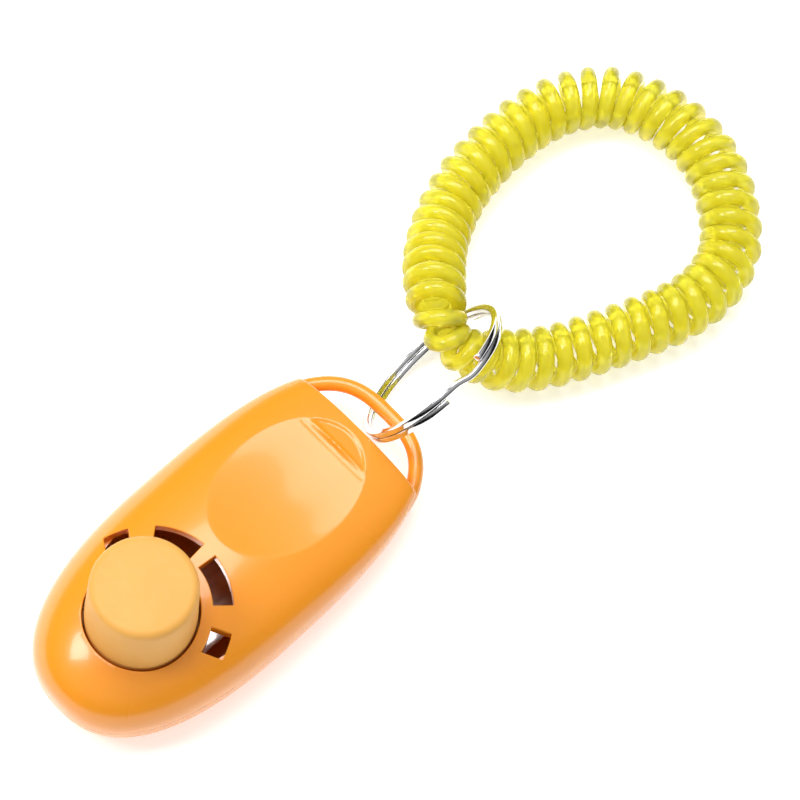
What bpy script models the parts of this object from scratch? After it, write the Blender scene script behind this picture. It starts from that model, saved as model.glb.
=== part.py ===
"""Clicker trainer: a thumb clicker with a key loop, a split ring and a spiral wrist band.

+Y runs from the button end to the key loop, +Z is up, and X = 0 is the plane of symmetry of the case.
The origin is on the flat underside. Lengths are in metres, written as millimetres times MM.
"""
import math

import bmesh
import bpy
from mathutils import Matrix, Vector

MM = 0.001
GAP = 0.3 * MM
WELD = 0.003 * MM
FLATNESS = math.radians(1.2)

# Case outline, seen from above: two superellipse halves that meet at EGG_MID_Y
NOSE_Y = -33.3 * MM
EGG_MID_Y = -2.0 * MM
LOOP_END_Y = 32.6 * MM
HALF_WIDTH = 15.7 * MM
NOSE_POWER = 2.45
LOOP_POWER = 2.87
COVER_END_Y = 25.4 * MM

# Case heights
PARTING_Z = 7.4 * MM
CREST = 9.4 * MM
CREST_AT_END = 3.7 * MM
CREST_POWER = 3.3
SECTION_POWER = 2.1
FOOT_SCALE = 0.83
WALL = 1.6 * MM
TUB_WALL = 2.0 * MM
FLOOR = 1.8 * MM
LIP_INSET = 1.9 * MM
LIP_WALL = 0.9 * MM
LIP_HEIGHT = 1.2 * MM
LIP_ROOT = 3.1 * MM
THROUGH = 1.0 * MM

# Button, on an axis that leans a little towards the key loop
BUTTON_Y = -17.0 * MM
BUTTON_LEAN = math.radians(5.0)
RIM_Z = 16.0 * MM
HOLE_RADIUS = 8.25 * MM
COLLAR_WALL = 1.35 * MM
COLLAR_TOP = 2.0 * MM
CAP_TOP = 10.2 * MM
CAP_RADIUS = 7.9 * MM
CAP_TOP_RADIUS = 7.6 * MM
CAP_WALL = 1.5 * MM
CAP_EDGE = 1.0 * MM
CAP_CROWN = 0.15 * MM
CAP_CROWN_RADIUS = 2.5 * MM
FLANGE_RADIUS = 9.2 * MM
COLLAR_END = -5.2 * MM
FLANGE_TOP = COLLAR_END - GAP
FLANGE_THICKNESS = 1.2 * MM
PLUNGER_RADIUS = 1.6 * MM
PLUNGER_TIP = 0.5 * MM

# Sound slots about the button axis: two long arcs, and two short slots with parallel ends, mirrored in X.
# Angles are from +Y.
SLOT_INNER = 9.95 * MM
SLOT_OUTER = 12.9 * MM
LONG_SLOT = (5.2, 38.5)
SHORT_SLOT_START = 55.5
SHORT_SLOT_WIDTH = 3.5 * MM
SLOT_LOW = -3.9 * MM
SLOT_HIGH = 3.0 * MM

# Thumb dish
DISH_Y = 11.0 * MM
DISH_HALF_WIDTH = 9.2 * MM
DISH_HALF_LENGTH = 13.1 * MM
DISH_DEPTH = 1.5 * MM
DISH_BACKING = 1.3 * MM
SHELF_Y = 20.8 * MM
SHELF_DEPTH = 0.35 * MM

# Key loop
LOOP_BAR = 2.25 * MM
LOOP_ROUNDING = 0.8
LOOP_LOW_Z = 4.8 * MM
LOOP_TOP_Z = 7.25 * MM
LOOP_ARM = 5.0 * MM
LOOP_ARM_SINK = 1.3 * MM

# Click plate and what clamps it. PLATE_SIDE_CLEARANCE is kept from the lip.
PLATE_HALF_WIDTH = 8.6 * MM
PLATE_THICKNESS = 0.35 * MM
PLATE_FRONT_Y = -25.0 * MM
PLATE_REAR_Y = 14.4 * MM
PLATE_RISE = 3.55 * MM
CLAMP_Y = 10.8 * MM
CLAMP_HALF_LENGTH = 3.0 * MM
SEAT_Z = 4.0 * MM
CLAMP_SCREW_X = 5.0 * MM
CLAMP_INSET = 0.6 * MM
CLAMP_THICKNESS = 1.2 * MM
PLATE_SIDE_CLEARANCE = 1.2 * MM
PLATE_FLAT = 1.0 * MM
PLATE_CURVE = 1.3

# Fasteners
POST_RADIUS = 2.3 * MM
SCREW_SHANK = 0.85 * MM
SCREW_HEAD = 1.7 * MM
SCREW_HEAD_HEIGHT = 1.1 * MM
CLAMP_SCREW_TIP = 2.2 * MM
CASE_SCREW_HEAD_Z = 0.8 * MM
CASE_SCREW_TIP_Z = 9.6 * MM
CASE_PILOT_TOP_Z = 10.1 * MM
HEAD_POCKET_TOP_Z = 2.2 * MM
COVER_POST_LOW_Z = 9.0 * MM
TUB_POST_TOP_Z = 8.7 * MM
CASE_SCREWS = {
    "case_screw_left": (-8.6 * MM, 18.0 * MM),
    "case_screw_right": (8.6 * MM, 18.0 * MM),
}

# Split ring
RING_CENTRE = Vector((1.6, 38.8, 12.2)) * MM
RING_NORMAL = Vector((0.872, 0.13, -0.49)).normalized()
RING_RADIUS = 12.5 * MM
RING_RADIAL = 1.15 * MM
RING_STRIP = 0.95 * MM
RING_STEP = 1.0 * MM
RING_SEGMENTS = 48

# Where the ring's wire starts, steps over and ends, as angles from the band's side towards the raised edge
WIRE_START = math.radians(78.0)
WIRE_STEP_AT = math.radians(95.0)
WIRE_STEP_WIDTH = math.radians(11.0)
WIRE_END = math.radians(112.0)

# Wrist coil: outer radius of the coiled band, and the route of its centre
COIL_RADIUS = 4.85 * MM
COIL_WAIST = 3.5 * MM
COIL_WAIST_REACH = 5.6 * MM
COIL_ROUTE = (
    (-0.3, 45.0, 9.9), (-4.5, 46.2, 11.8), (-9.2, 50.0, 10.2), (-13.4, 54.8, 7.2), (-16.7, 60.4, 5.4),
    (-18.8, 66.4, 5.1), (-19.7, 73.4, 5.1), (-19.5, 80.8, 5.1), (-17.7, 87.6, 5.1), (-13.9, 93.1, 5.1),
    (-8.1, 96.4, 5.1), (-0.9, 97.6, 5.1), (6.2, 96.2, 5.1), (12.4, 92.4, 5.1), (16.9, 87.6, 5.1),
    (18.7, 81.4, 5.1), (18.0, 75.0, 5.1), (15.7, 68.4, 5.1), (12.9, 61.6, 5.1), (10.2, 56.0, 5.2),
    (7.2, 51.2, 6.0), (3.8, 47.2, 7.8),
)
COIL_STEPS = 3

COLOURS = {
    "shell": ((1.0, 0.36, 0.03), 0.22, 0.0),
    "button": ((0.95, 0.56, 0.16), 0.45, 0.0),
    "spring_steel": ((0.78, 0.78, 0.80), 0.22, 1.0),
    "screw": ((0.55, 0.55, 0.56), 0.35, 1.0),
    "chrome": ((0.82, 0.82, 0.82), 0.12, 1.0),
    "clear_yellow": ((0.95, 0.85, 0.05), 0.15, 0.0),
}


# ---------------------------------------------------------------- helpers

def empty_scene():
    for thing in list(bpy.data.objects):
        bpy.data.objects.remove(thing, do_unlink=True)


def collection(name):
    group = bpy.data.collections.new(name)
    bpy.context.scene.collection.children.link(group)
    return group


def material(name):
    colour, roughness, metallic = COLOURS[name]
    made = bpy.data.materials.get(name) or bpy.data.materials.new(name)
    made.use_nodes = True
    shader = made.node_tree.nodes["Principled BSDF"]
    shader.inputs["Base Color"].default_value = (*colour, 1.0)
    shader.inputs["Roughness"].default_value = roughness
    shader.inputs["Metallic"].default_value = metallic
    return made


def object_from(shape, name, group):
    mesh = bpy.data.meshes.new(name)
    shape.to_mesh(mesh)
    shape.free()
    thing = bpy.data.objects.new(name, mesh)
    group.objects.link(thing)
    return thing


def simplify(mesh):
    """Joins the triangles of each nearly flat stretch, and splits what is left anew."""
    shape = bmesh.new()
    shape.from_mesh(mesh)
    bmesh.ops.dissolve_limit(shape, angle_limit=FLATNESS, verts=shape.verts, edges=shape.edges)
    bmesh.ops.triangulate(shape, faces=shape.faces[:])
    shape.to_mesh(mesh)
    shape.free()


def finish(thing, finish_name, crease=35.0):
    simplify(thing.data)
    thing.data.materials.clear()
    thing.data.materials.append(material(finish_name))
    thing.data.shade_smooth()
    thing.data.set_sharp_from_angle(angle=math.radians(crease))


def loft(name, rings, group):
    """A solid through rings of equally many points, capped at both ends."""
    shape = bmesh.new()
    rows = [[shape.verts.new(point) for point in ring] for ring in rings]
    count = len(rings[0])
    for low, high in zip(rows, rows[1:]):
        for i in range(count):
            j = (i + 1) % count
            shape.faces.new((low[i], low[j], high[j], high[i]))
    caps = [shape.faces.new(list(reversed(rows[0]))), shape.faces.new(rows[-1])]
    bmesh.ops.poke(shape, faces=caps)
    bmesh.ops.recalc_face_normals(shape, faces=shape.faces)
    bmesh.ops.triangulate(shape, faces=shape.faces[:])
    return object_from(shape, name, group)


def turned(name, profile, group, segments=40):
    """A solid turned about Z from (radius, height) points that run up its outside."""
    outline = [(0.0, profile[0][1]), *profile, (0.0, profile[-1][1])]
    shape = bmesh.new()
    points = [shape.verts.new((radius, 0.0, height)) for radius, height in reversed(outline)]
    for upper, lower in zip(points, points[1:]):
        shape.edges.new((upper, lower))
    thing = object_from(shape, name, group)
    turn = thing.modifiers.new("turn", "SCREW")
    turn.axis = "Z"
    turn.steps = segments
    turn.render_steps = segments
    turn.use_merge_vertices = True
    turn.merge_threshold = WELD
    return bake(thing)


def slab(name, outline, low, high, group):
    """A flat outline with thickness, from low to high along Z."""
    curve = bpy.data.curves.new(name, "CURVE")
    curve.dimensions = "2D"
    curve.fill_mode = "BOTH"
    curve.extrude = (high - low) / 2
    spline = curve.splines.new("POLY")
    spline.points.add(len(outline) - 1)
    for point, place in zip(spline.points, outline):
        point.co = (*place, 0.0, 1.0)
    spline.use_cyclic_u = True
    drawn = bpy.data.objects.new(name, curve)
    group.objects.link(drawn)
    mesh = evaluated_mesh(drawn)
    bpy.data.objects.remove(drawn, do_unlink=True)
    weld(mesh)
    thing = bpy.data.objects.new(name, mesh)
    group.objects.link(thing)
    return moved(thing, (0.0, 0.0, (low + high) / 2))


def box(name, low, high, group):
    shape = bmesh.new()
    bmesh.ops.create_cube(shape, size=1.0)
    middle = (Vector(low) + Vector(high)) / 2
    size = Vector(high) - Vector(low)
    for vertex in shape.verts:
        vertex.co = middle + Vector([vertex.co[k] * size[k] for k in range(3)])
    return object_from(shape, name, group)


def moved(thing, offset=(0.0, 0.0, 0.0), turn=None):
    matrix = Matrix.Translation(Vector(offset))
    if turn is not None:
        matrix = matrix @ turn
    thing.data.transform(matrix)
    return thing


def weld(mesh):
    """Merges points that a cut left almost on each other."""
    shape = bmesh.new()
    shape.from_mesh(mesh)
    bmesh.ops.remove_doubles(shape, verts=shape.verts, dist=WELD)
    bmesh.ops.dissolve_degenerate(shape, edges=shape.edges, dist=WELD)
    bmesh.ops.triangulate(shape, faces=shape.faces[:])
    shape.to_mesh(mesh)
    shape.free()


def evaluated_mesh(thing):
    graph = bpy.context.evaluated_depsgraph_get()
    return bpy.data.meshes.new_from_object(thing.evaluated_get(graph))


def bake(thing):
    """Applies the object's modifiers and welds what they leave."""
    mesh = evaluated_mesh(thing)
    thing.modifiers.clear()
    weld(mesh)
    old = thing.data
    thing.data = mesh
    bpy.data.meshes.remove(old)
    return thing


def combine(thing, other, operation):
    """Applies one Boolean and removes the tool that was used."""
    step = thing.modifiers.new(operation.lower(), "BOOLEAN")
    step.operation = operation
    step.solver = "EXACT"
    step.object = other
    bake(thing)
    bpy.data.objects.remove(other, do_unlink=True)
    return thing


def cut(thing, other):
    return combine(thing, other, "DIFFERENCE")


def join(thing, other):
    return combine(thing, other, "UNION")


def keep_before(thing, y):
    """Cuts away everything past y and closes the cut."""
    shape = bmesh.new()
    shape.from_mesh(thing.data)
    geometry = shape.verts[:] + shape.edges[:] + shape.faces[:]
    result = bmesh.ops.bisect_plane(shape, geom=geometry, dist=1e-7, plane_co=(0, y, 0),
                                    plane_no=(0, 1, 0), clear_outer=True)
    edges = [part for part in result["geom_cut"] if isinstance(part, bmesh.types.BMEdge)]
    bmesh.ops.contextual_create(shape, geom=edges)
    bmesh.ops.recalc_face_normals(shape, faces=shape.faces)
    shape.to_mesh(thing.data)
    shape.free()
    return thing


# ---------------------------------------------------------------- case surface

def reach(y):
    return EGG_MID_Y - NOSE_Y if y < EGG_MID_Y else LOOP_END_Y - EGG_MID_Y


def half_width(y, inset=0.0):
    power = NOSE_POWER if y < EGG_MID_Y else LOOP_POWER
    along = min(abs(y - EGG_MID_Y) / (reach(y) - inset), 1.0)
    return (HALF_WIDTH - inset) * (1.0 - along ** power) ** (1.0 / power)


def egg_outline(inset=0.0, count=52, scale=1.0):
    """Points around the outline, anticlockwise from +X."""
    points = []
    for i in range(count):
        angle = math.tau * i / count
        c = math.cos(angle)
        s = math.sin(angle)
        power = LOOP_POWER if s > 0 else NOSE_POWER
        length = (LOOP_END_Y - EGG_MID_Y if s > 0 else EGG_MID_Y - NOSE_Y) - inset
        x = (HALF_WIDTH - inset) * math.copysign(abs(c) ** (2.0 / power), c)
        y = length * math.copysign(abs(s) ** (2.0 / power), s)
        points.append((scale * x, EGG_MID_Y + scale * y))
    return points


def crest_height(y):
    """Height of the cover's centre line above the parting plane."""
    past = max(y - BUTTON_Y, 0.0) / (COVER_END_Y - BUTTON_Y)
    height = CREST + (CREST_AT_END - CREST) * past ** 2
    ahead = min(max(EGG_MID_Y - y, 0.0) / (EGG_MID_Y - NOSE_Y), 1.0)
    return max(height, 1.0 * MM) * (1.0 - ahead ** CREST_POWER) ** (1.0 / CREST_POWER)


def cover_height(x, y, inset=0.0):
    """Height of the cover's surface, or of its inside when inset is the wall."""
    width = half_width(y, inset)
    across = min(abs(x) / width, 1.0) if width > 0 else 1.0
    rise = max(crest_height(y) - inset, 0.0)
    return PARTING_Z + rise * (1.0 - across ** SECTION_POWER) ** (1.0 / SECTION_POWER)


def dome(name, inset, base_z, group, rows=9, count=52):
    """The solid under the cover's surface, down to base_z."""
    rings = [[(x, y, base_z) for x, y in egg_outline(inset, count)]]
    for row in range(rows):
        scale = math.cos(0.5 * math.pi * row / rows)
        outline = egg_outline(inset, count, scale)
        lift = GAP / 2 if row == 0 and inset == 0.0 else 0.0
        rings.append([(x, y, cover_height(x, y, inset) + lift) for x, y in outline])
    if inset == 0.0:
        rings = rings[1:]
    return loft(name, rings, group)


def on_button_axis(height):
    """A point on the button's axis, height above the rim of its hole."""
    return Vector((0.0, BUTTON_Y + height * math.sin(BUTTON_LEAN), RIM_Z + height * math.cos(BUTTON_LEAN)))


def set_on_button(thing):
    """Moves a shape made about Z, with its zero at the rim, onto the button's axis."""
    return moved(thing, on_button_axis(0.0), Matrix.Rotation(-BUTTON_LEAN, 4, "X"))


# ---------------------------------------------------------------- cutters

def slot_ends(radius, short):
    """Where a slot starts and stops at one radius, as angles from +Y."""
    if not short:
        return (math.radians(angle) for angle in LONG_SLOT)
    start = math.radians(SHORT_SLOT_START)
    return start, start + math.asin(SHORT_SLOT_WIDTH / radius)


def slot_cutter(short, side, group):
    """One slot: side is 1 for +X and -1 for -X."""
    steps = 8
    outline = []
    for radius, order in ((SLOT_INNER, range(steps + 1)), (SLOT_OUTER, range(steps, -1, -1))):
        start, stop = slot_ends(radius, short)
        for i in order:
            angle = start + (stop - start) * i / steps
            outline.append((side * radius * math.sin(angle), radius * math.cos(angle)))
    return set_on_button(slab("slot_cutter", outline, SLOT_LOW, SLOT_HIGH, group))


def dish_rings(depth_at, rows, widest, count=40):
    """Rings of the dish's oval, from the widest in to the middle, each sunk below the cover by depth_at."""
    rings = []
    for row in range(rows, 0, -1):
        scale = widest * row / rows
        ring = []
        for i in range(count):
            angle = math.tau * i / count
            x = scale * DISH_HALF_WIDTH * math.cos(angle)
            y = DISH_Y + scale * DISH_HALF_LENGTH * math.sin(angle)
            ring.append((x, y, cover_height(x, y) - depth_at(scale)))
        rings.append(ring)
    return rings


def dish_depth(scale):
    return DISH_DEPTH * (1.0 - scale ** 2)


def dish_backing(group):
    """Keeps the wall's thickness under the dish."""
    low = dish_rings(lambda scale: DISH_BACKING + max(dish_depth(scale), 0.0), 6, 1.02)
    top = [(x, y, z + 0.7 * MM) for x, y, z in low[0]]
    middle = [(x, y, cover_height(x, y) - 0.6 * MM) for x, y, z in low[3]]
    return loft("backing", [middle, top] + low, group)


def dish_cutter(group):
    """The dish's hollow in front of its shelf."""
    rings = dish_rings(dish_depth, 8, 1.04)
    top = [(x, y, z + 6.0 * MM) for x, y, z in rings[0]]
    solid = loft("dish_cutter", [top] + rings, group)
    return cut(solid, box("rear_limit", (-0.03, SHELF_Y, 0.0), (0.03, 0.06, 0.05), group))


def shelf_cutter(group):
    """The shallow crescent behind the dish's ridge."""
    rings = dish_rings(lambda scale: SHELF_DEPTH * min(1.0, 5.0 * (1.02 - scale)), 6, 1.05)
    top = [(x, y, z + 6.0 * MM) for x, y, z in rings[0]]
    solid = loft("shelf_cutter", [top] + rings, group)
    return cut(solid, box("front_limit", (-0.03, -0.05, 0.0), (0.03, SHELF_Y - 0.1 * MM, 0.05), group))


# ---------------------------------------------------------------- case

def upper_shell(parts, tools):
    shell = keep_before(dome("upper_shell", 0.0, 0.0, parts), COVER_END_Y)
    hollow = keep_before(dome("hollow", WALL, 4.0 * MM, tools, rows=7, count=48), COVER_END_Y - WALL)
    cut(shell, hollow)
    collar = set_on_button(turned("collar", (
        (HOLE_RADIUS + COLLAR_WALL, COLLAR_END), (HOLE_RADIUS + COLLAR_WALL, COLLAR_TOP)), tools))
    join(shell, combine(collar, dome("collar_limit", WALL / 2, 0.0, tools), "INTERSECT"))
    join(shell, dish_backing(tools))
    for x, y in CASE_SCREWS.values():
        top = cover_height(x, y, WALL) + 0.8 * MM
        post = turned("post", ((POST_RADIUS, COVER_POST_LOW_Z), (POST_RADIUS, top)), tools, 20)
        join(shell, moved(post, (x, y, 0.0)))
    hole = set_on_button(turned("hole", (
        (HOLE_RADIUS, -12.0 * MM), (HOLE_RADIUS, 6.0 * MM)), tools, 56))
    cut(shell, hole)
    for short in (False, True):
        for side in (-1, 1):
            cut(shell, slot_cutter(short, side, tools))
    cut(shell, dish_cutter(tools))
    cut(shell, shelf_cutter(tools))
    for x, y in CASE_SCREWS.values():
        pilot = turned("pilot", ((SCREW_SHANK + GAP, 0.0), (SCREW_SHANK + GAP, CASE_PILOT_TOP_Z)), tools, 16)
        cut(shell, moved(pilot, (x, y, 0.0)))
    finish(shell, "shell")


def tub(name, inset, floor_z, top_z, end_y, group, rows=5, count=52):
    """The lower shell's bowl: a flat foot with a rounded side up to the parting plane."""
    rings = []
    for row in range(rows + 1):
        angle = 0.5 * math.pi * row / rows
        scale = FOOT_SCALE + (1.0 - FOOT_SCALE) * math.sin(angle) ** 0.9
        height = floor_z + (top_z - floor_z) * (1.0 - math.cos(angle) ** 0.9)
        rings.append([(x, y, height) for x, y in egg_outline(inset, count, scale)])
    return keep_before(loft(name, rings, group), end_y)


def lip(group):
    """The thin rim that stands up inside the cover."""
    low = PARTING_Z - LIP_ROOT
    high = PARTING_Z + LIP_HEIGHT
    outer = slab("lip", egg_outline(LIP_INSET), low, high, group)
    keep_before(outer, COVER_END_Y - LIP_INSET)
    inside = egg_outline(LIP_INSET + LIP_WALL)
    inner = slab("inner", inside, low - THROUGH, high + THROUGH, group)
    keep_before(inner, COVER_END_Y - LIP_INSET - LIP_WALL)
    limit = keep_before(dome("limit", WALL + GAP, 1.0 * MM, group), COVER_END_Y - WALL - GAP)
    return combine(cut(outer, inner), limit, "INTERSECT")


def arm_sink(y):
    """How far the bar's arms lean inwards once they are inside the tub."""
    share = min(max((COVER_END_Y - y) / LOOP_ARM, 0.0), 1.0)
    return LOOP_ARM_SINK * share


def key_loop(group):
    """The arched bar that carries the outline on past the cover, as a swept rounded section."""
    outer = egg_outline(0.0, 120)
    inner = egg_outline(LOOP_BAR, 120)
    half_height = (LOOP_TOP_Z - LOOP_LOW_Z) / 2
    middle_z = (LOOP_TOP_Z + LOOP_LOW_Z) / 2
    rings = []
    for i in range(0, 61):
        if outer[i][1] < COVER_END_Y - LOOP_ARM:
            continue
        a = Vector((*outer[i], 0.0))
        b = Vector((*inner[i], 0.0))
        across = (a - b) / 2
        centre = (a + b) / 2 - across.normalized() * arm_sink(outer[i][1])
        ring = []
        for k in range(12):
            angle = math.tau * k / 12
            c = math.cos(angle)
            s = math.sin(angle)
            wide = math.copysign(abs(c) ** LOOP_ROUNDING, c)
            tall = math.copysign(abs(s) ** LOOP_ROUNDING, s)
            ring.append(centre + across * wide + Vector((0.0, 0.0, middle_z + half_height * tall)))
        rings.append(ring)
    return loft("key_loop", rings, group)


def lower_shell(parts, tools):
    top = PARTING_Z - GAP / 2
    shell = tub("lower_shell", 0.0, 0.0, top, COVER_END_Y, parts)
    hollow = tub("hollow", TUB_WALL, FLOOR, PARTING_Z + 1.0 * MM, COVER_END_Y - TUB_WALL, tools, count=48)
    cut(shell, hollow)
    join(shell, lip(tools))
    join(shell, key_loop(tools))
    seat_low = FLOOR - 0.5 * MM
    seat = box("seat", (-PLATE_HALF_WIDTH, CLAMP_Y - CLAMP_HALF_LENGTH, seat_low),
               (PLATE_HALF_WIDTH, CLAMP_Y + CLAMP_HALF_LENGTH, SEAT_Z), tools)
    join(shell, seat)
    for x, y in CASE_SCREWS.values():
        post = turned("post", ((POST_RADIUS, seat_low), (POST_RADIUS, TUB_POST_TOP_Z)), tools, 20)
        join(shell, moved(post, (x, y, 0.0)))
    for x, y in CASE_SCREWS.values():
        step = HEAD_POCKET_TOP_Z + 0.01 * MM
        bore = turned("bore", ((SCREW_HEAD + GAP, -THROUGH), (SCREW_HEAD + GAP, HEAD_POCKET_TOP_Z),
                               (SCREW_SHANK + GAP, step), (SCREW_SHANK + GAP, CASE_PILOT_TOP_Z)), tools, 20)
        cut(shell, moved(bore, (x, y, 0.0)))
    for side in (-1, 1):
        pilot = turned("pilot", (
            (SCREW_SHANK + GAP, THROUGH), (SCREW_SHANK + GAP, SEAT_Z + THROUGH)), tools, 16)
        cut(shell, moved(pilot, (side * CLAMP_SCREW_X, CLAMP_Y, 0.0)))
    finish(shell, "shell")


# ---------------------------------------------------------------- moving and inner parts

def rounded_edge():
    """The quarter round between the cap's side and its top, as (radius, height) points."""
    points = []
    for k in range(5):
        angle = 0.5 * math.pi * k / 4
        radius = CAP_TOP_RADIUS - CAP_EDGE * (1.0 - math.cos(angle))
        points.append((radius, CAP_TOP - CAP_EDGE * (1.0 - math.sin(angle))))
    return points


def button_cap(parts, tools):
    cap = turned("button_cap", (
        (FLANGE_RADIUS, FLANGE_TOP - FLANGE_THICKNESS), (FLANGE_RADIUS, FLANGE_TOP),
        (CAP_RADIUS, FLANGE_TOP), (CAP_RADIUS, 0.0), *rounded_edge(),
        (CAP_CROWN_RADIUS, CAP_TOP + CAP_CROWN)), parts, 48)
    hollow = turned("hollow", (
        (CAP_RADIUS - CAP_WALL, FLANGE_TOP - FLANGE_THICKNESS - THROUGH),
        (CAP_TOP_RADIUS - CAP_WALL, CAP_TOP - CAP_WALL)),
        tools, 32)
    cut(cap, hollow)
    plunger = turned("plunger", (
        (PLUNGER_RADIUS * 0.7, FLANGE_TOP - FLANGE_THICKNESS - PLUNGER_TIP),
        (PLUNGER_RADIUS, FLANGE_TOP - FLANGE_THICKNESS), (PLUNGER_RADIUS, CAP_TOP - CAP_WALL / 2)), tools, 20)
    join(cap, plunger)
    finish(set_on_button(cap), "button")


def plate_height(y):
    """Underside of the click plate: flat in the clamp, then rising towards the plunger."""
    start = CLAMP_Y - CLAMP_HALF_LENGTH - PLATE_FLAT
    past = max(start - y, 0.0) / (start - BUTTON_Y)
    rise = PLATE_RISE * min(past, 1.0) ** PLATE_CURVE
    return SEAT_Z + GAP + rise


def click_plate(parts, tools):
    rows = 18
    rings = []
    for i in range(rows + 1):
        y = PLATE_REAR_Y + (PLATE_FRONT_Y - PLATE_REAR_Y) * i / rows
        width = min(PLATE_HALF_WIDTH, half_width(y, TUB_WALL + LIP_WALL + PLATE_SIDE_CLEARANCE))
        low = plate_height(y)
        high = low + PLATE_THICKNESS
        rings.append([(-width, y, low), (width, y, low), (width, y, high), (-width, y, high)])
    plate = loft("click_plate", rings, parts)
    for side in (-1, 1):
        hole = turned("hole", ((SCREW_SHANK + GAP, 0.0), (SCREW_SHANK + GAP, PARTING_Z)), tools, 16)
        cut(plate, moved(hole, (side * CLAMP_SCREW_X, CLAMP_Y, 0.0)))
    finish(plate, "spring_steel")


def clamp_low():
    return SEAT_Z + GAP + PLATE_THICKNESS + GAP


def plate_clamp(parts, tools):
    low = clamp_low()
    x = PLATE_HALF_WIDTH - CLAMP_INSET
    half_length = CLAMP_HALF_LENGTH - CLAMP_INSET
    clamp = box("plate_clamp", (-x, CLAMP_Y - half_length, low),
                (x, CLAMP_Y + half_length, low + CLAMP_THICKNESS), parts)
    for side in (-1, 1):
        hole = turned("hole", ((SCREW_SHANK + GAP, 0.0), (SCREW_SHANK + GAP, PARTING_Z)), tools, 16)
        cut(clamp, moved(hole, (side * CLAMP_SCREW_X, CLAMP_Y, 0.0)))
    finish(clamp, "spring_steel")


def screw(name, place, head_z, tip_z, parts, tools):
    """A pan-head screw along Z, with a cross recess in the head."""
    up = 1.0 if tip_z > head_z else -1.0
    thick = SCREW_HEAD_HEIGHT
    length = abs(tip_z - head_z)
    profile = [
        (SCREW_HEAD * 0.75, 0.0), (SCREW_HEAD, 0.35 * MM), (SCREW_HEAD, thick),
        (SCREW_SHANK, thick + 0.01 * MM), (SCREW_SHANK, length - 0.8 * MM), (SCREW_SHANK * 0.3, length),
    ]
    body = turned(name, profile, parts, 16)
    for turn in (0.0, 0.5 * math.pi):
        arm = box("arm", (-1.0 * MM, -0.2 * MM, -0.5 * MM), (1.0 * MM, 0.2 * MM, 0.5 * MM), tools)
        cut(body, moved(arm, turn=Matrix.Rotation(turn, 4, "Z")))
    if up < 0:
        body.data.transform(Matrix.Rotation(math.pi, 4, "X"))
    finish(moved(body, (*place, head_z)), "screw")


def screws(parts, tools):
    for name, place in CASE_SCREWS.items():
        screw(name, place, CASE_SCREW_HEAD_Z, CASE_SCREW_TIP_Z, parts, tools)
    for name, side in (("clamp_screw_left", -1), ("clamp_screw_right", 1)):
        head = clamp_low() + CLAMP_THICKNESS + GAP + SCREW_HEAD_HEIGHT
        screw(name, (side * CLAMP_SCREW_X, CLAMP_Y), head, CLAMP_SCREW_TIP, parts, tools)


# ---------------------------------------------------------------- ring and band

def ring_axes():
    """The ring's own axes: along towards the band, and side, which points at its raised edge."""
    along = (Vector((0.0, 1.0, 0.0)) - RING_NORMAL * RING_NORMAL.y).normalized()
    side = RING_NORMAL.cross(along)
    if side.z < 0:
        side.negate()
    return along, side


def split_ring(parts):
    """Two turns of flat wire that change places in one short step."""
    along, side = ring_axes()
    to_step = WIRE_START - WIRE_STEP_AT + math.tau
    total = WIRE_START - WIRE_END + 2 * math.tau
    count = int(RING_SEGMENTS * total / math.tau)
    rings = []
    for i in range(count + 1):
        travelled = total * i / count
        level = RING_STEP / 2 * math.tanh(2.0 * (travelled - to_step) / WIRE_STEP_WIDTH)
        angle = WIRE_START - travelled
        outward = along * math.cos(angle) + side * math.sin(angle)
        centre = RING_CENTRE + outward * RING_RADIUS + RING_NORMAL * level
        radial = outward * RING_RADIAL / 2
        axial = RING_NORMAL * RING_STRIP / 2
        rings.append([centre - radial - axial, centre + radial - axial, centre + radial + axial,
                      centre - radial + axial])
    finish(loft("split_ring", rings, parts), "chrome")


def smooth_route(points, steps):
    """A closed Catmull-Rom curve through the route's own points."""
    route = []
    count = len(points)
    for i in range(count):
        a, b, c, d = (Vector(points[(i + k) % count]) * MM for k in (-1, 0, 1, 2))
        for s in range(steps):
            t = s / steps
            route.append(0.5 * ((2 * b) + (c - a) * t + (2 * a - 5 * b + 4 * c - d) * t ** 2
                                + (3 * b - a - 3 * c + d) * t ** 3))
    return route


def wrist_coil(parts):
    """The coiled band as one closed tube of its outer size, drawn in where the ring passes round it."""
    route = smooth_route(COIL_ROUTE, COIL_STEPS)
    curve = bpy.data.curves.new("wrist_coil", "CURVE")
    curve.dimensions = "3D"
    curve.bevel_depth = COIL_RADIUS
    curve.bevel_resolution = 3
    curve.use_fill_caps = True
    spline = curve.splines.new("POLY")
    spline.points.add(len(route) - 1)
    for point, place in zip(spline.points, route):
        point.co = (*place, 1.0)
        near = math.exp(-((place - route[0]).length / COIL_WAIST_REACH) ** 2)
        point.radius = 1.0 - (1.0 - COIL_WAIST / COIL_RADIUS) * near
    spline.use_cyclic_u = True
    band = bpy.data.objects.new("wrist_coil", curve)
    curve.materials.append(material("clear_yellow"))
    parts.objects.link(band)


def main():
    empty_scene()
    parts = collection("clicker_trainer")
    tools = collection("cutters")
    upper_shell(parts, tools)
    lower_shell(parts, tools)
    button_cap(parts, tools)
    click_plate(parts, tools)
    plate_clamp(parts, tools)
    screws(parts, tools)
    split_ring(parts)
    wrist_coil(parts)


main()
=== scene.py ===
"""Clicker trainer: the looks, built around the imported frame."""
import math

import bpy
from mathutils import Matrix, Vector


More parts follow.
